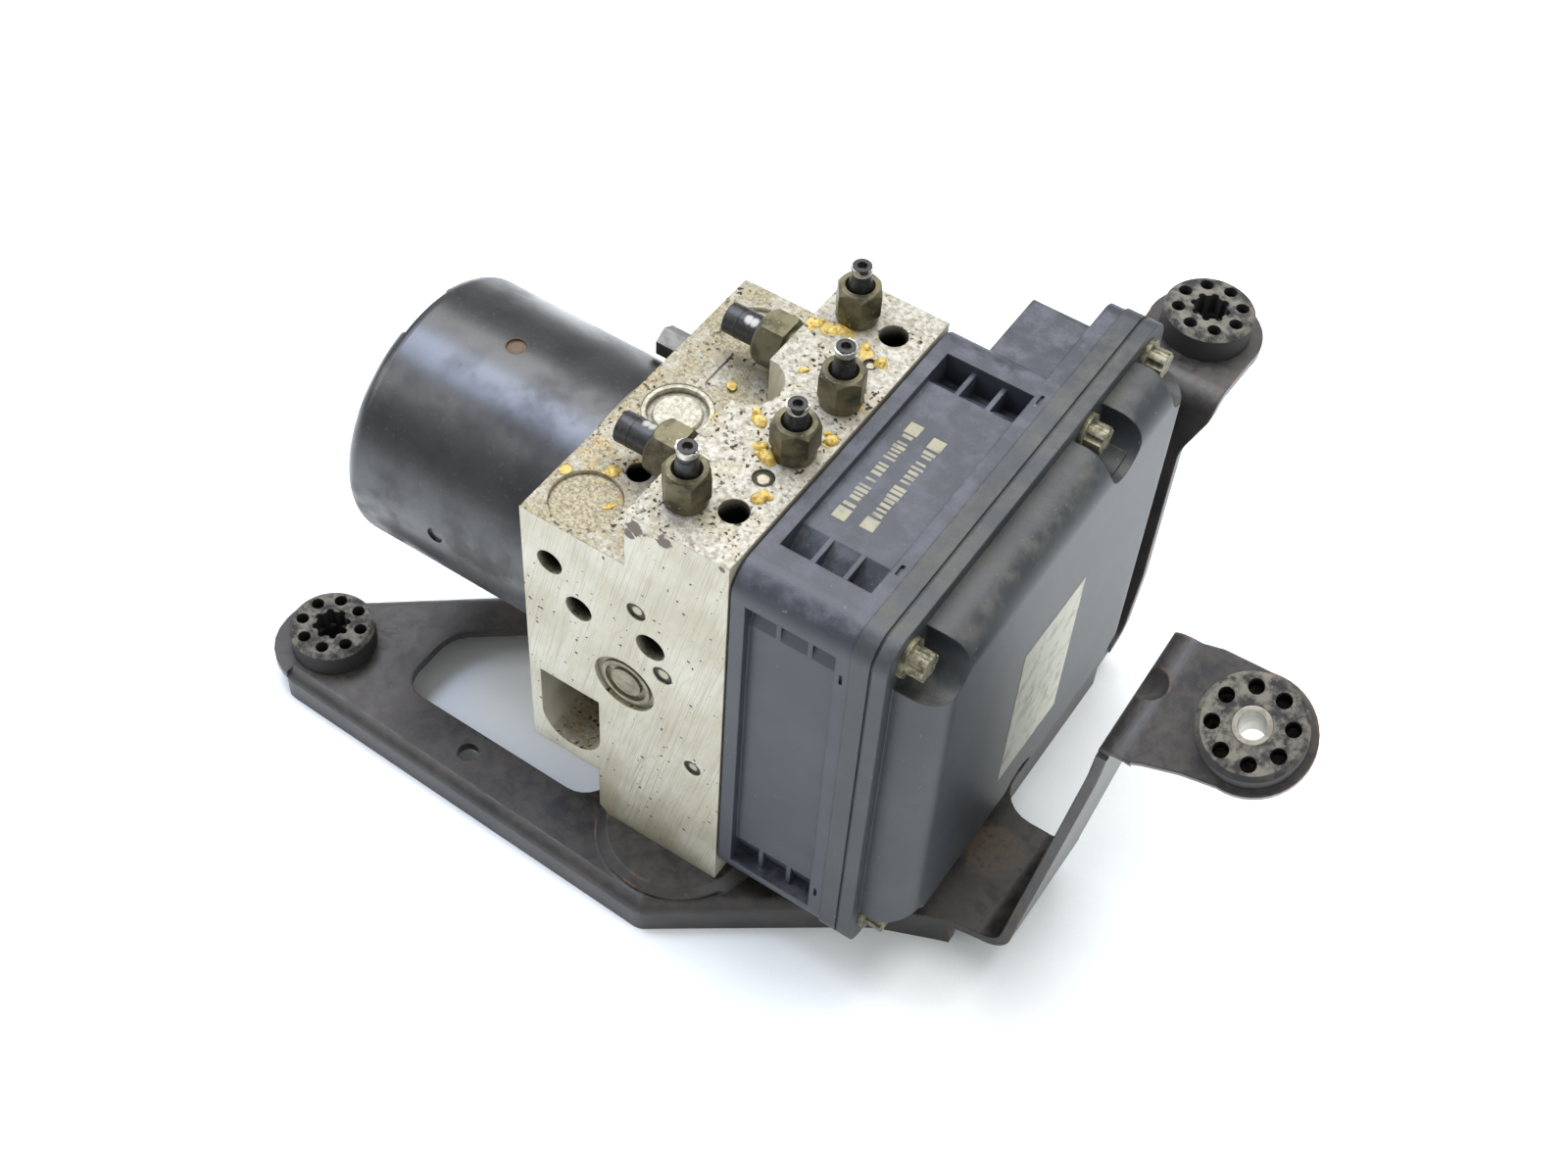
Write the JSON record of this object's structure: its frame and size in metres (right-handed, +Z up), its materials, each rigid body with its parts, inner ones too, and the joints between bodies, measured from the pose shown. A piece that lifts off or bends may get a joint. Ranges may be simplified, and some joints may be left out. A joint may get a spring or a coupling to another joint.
{
  "type": "anti-lock brake hydraulic unit",
  "caption": "Brake hydraulic unit: pump motor, ported valve block with cut pipes and plastic control unit on a folded steel bracket with rubber mounts",
  "frame": {"origin": "centre of the left rubber mount's bore, at mid height of its sheet", "axes": "+X from the motor towards the control unit's cover, +Y towards the rear arm, +Z up, out of the block's ported deck"},
  "size_m": [0.2927, 0.2073, 0.1712],
  "materials": {
    "block_aluminium": "milled, satin",
    "plug_steel": "turned, satin",
    "cap_aluminium": "dull",
    "bright_steel": "ground",
    "nut_zinc": "olive passivated zinc",
    "pipe_coat": "coated, satin",
    "sleeve_coat": "coated, matte",
    "spring_steel": "drawn",
    "armature_copper": "wound and varnished",
    "commutator_brass": "turned",
    "motor_paint": "semi-gloss",
    "magnet_ceramic": "matte",
    "plate_steel": "zinc plated",
    "bearing_bronze": "sintered",
    "holder_plastic": "matte",
    "brush_carbon": "matte",
    "terminal_brass": "plated",
    "screw_steel": "zinc plated",
    "coil_plastic": "matte",
    "seal_rubber": "matte",
    "housing_plastic": "moulded, satin",
    "board_green": "lacquered",
    "cover_plastic": "moulded, satin",
    "cover_screw_zinc": "corroded zinc",
    "bracket_paint": "worn semi-gloss",
    "bolt_steel": "zinc plated",
    "mount_rubber": "dusty",
    "sleeve_steel": "zinc plated"
  },
  "bodies": {
    "unit": {"valve_block": "block_aluminium", "pump_plug_front": "plug_steel", "pump_plug_rear": "plug_steel", "deck_cap_front": "cap_aluminium", "deck_cap_middle": "cap_aluminium", "deck_cap_rear": "cap_aluminium", "accumulator_cap_front": "cap_aluminium", "accumulator_cap_rear": "cap_aluminium", "ball_plugs": "bright_steel", "line_nut_1": "nut_zinc", "line_nut_2": "nut_zinc", "line_nut_3": "nut_zinc", "line_nut_4": "nut_zinc", "line_pipe_1": "pipe_coat", "line_pipe_2": "pipe_coat", "line_pipe_3": "pipe_coat", "line_pipe_4": "pipe_coat", "master_nut_front": "nut_zinc", "master_nut_rear": "nut_zinc", "master_pipe_front": "sleeve_coat", "master_pipe_rear": "sleeve_coat", "pump_spring_front": "spring_steel", "pump_spring_rear": "spring_steel", "accumulator_spring_front": "spring_steel", "accumulator_spring_rear": "spring_steel", "motor_can": "motor_paint", "motor_magnets": "magnet_ceramic", "motor_end_plate": "plate_steel", "front_bearing": "bright_steel", "rear_bearing": "bearing_bronze", "brush_holder": "holder_plastic", "brushes": "brush_carbon", "motor_terminal": "terminal_brass", "motor_screws": "screw_steel", "valve_cartridges": "bright_steel", "solenoid_coils": "coil_plastic", "block_gasket": "seal_rubber", "ecu_housing": "housing_plastic", "connector_pins": "terminal_brass", "circuit_board": "board_green", "cover_seal": "seal_rubber", "ecu_cover": "cover_plastic", "cover_screws": "cover_screw_zinc", "bracket": "bracket_paint", "bracket_bolts": "bolt_steel", "mount_left": "mount_rubber", "mount_rear": "mount_rubber", "mount_right": "mount_rubber", "mount_sleeve": "sleeve_steel"},
    "rotor": {"rotor_shaft": "bright_steel", "eccentric_ring": "bright_steel", "armature": "armature_copper", "commutator": "commutator_brass"},
    "pump_piston_front_body": {"pump_piston_front": "bright_steel"},
    "pump_piston_rear_body": {"pump_piston_rear": "bright_steel"},
    "accumulator_piston_front_body": {"accumulator_piston_front": "cap_aluminium"},
    "accumulator_piston_rear_body": {"accumulator_piston_rear": "cap_aluminium"}
  },
  "joints": [
    {"name": "rotor_turn", "type": "hinge", "parent": "unit", "child": "rotor", "pos_m": [0.1115, 0.046, 0.073], "axis": [1, 0, 0], "continuous": true},
    {"name": "pump_front_stroke", "type": "slide", "parent": "unit", "child": "pump_piston_front_body", "axis": [0, 1, 0], "range_m": [0, 0.001], "stiffness_N_per_m": 500, "springref_m": 0.002},
    {"name": "pump_rear_stroke", "type": "slide", "parent": "unit", "child": "pump_piston_rear_body", "axis": [0, -1, 0], "range_m": [0, 0.001], "stiffness_N_per_m": 500, "springref_m": 0.002},
    {"name": "accumulator_front_stroke", "type": "slide", "parent": "unit", "child": "accumulator_piston_front_body", "axis": [0, 0, -1], "range_m": [0, 0.005], "stiffness_N_per_m": 1500, "springref_m": -0.002, "deforming": ["accumulator_spring_front"]},
    {"name": "accumulator_rear_stroke", "type": "slide", "parent": "unit", "child": "accumulator_piston_rear_body", "axis": [0, 0, -1], "range_m": [0, 0.005], "stiffness_N_per_m": 1500, "springref_m": -0.002, "deforming": ["accumulator_spring_rear"]}
  ]
}
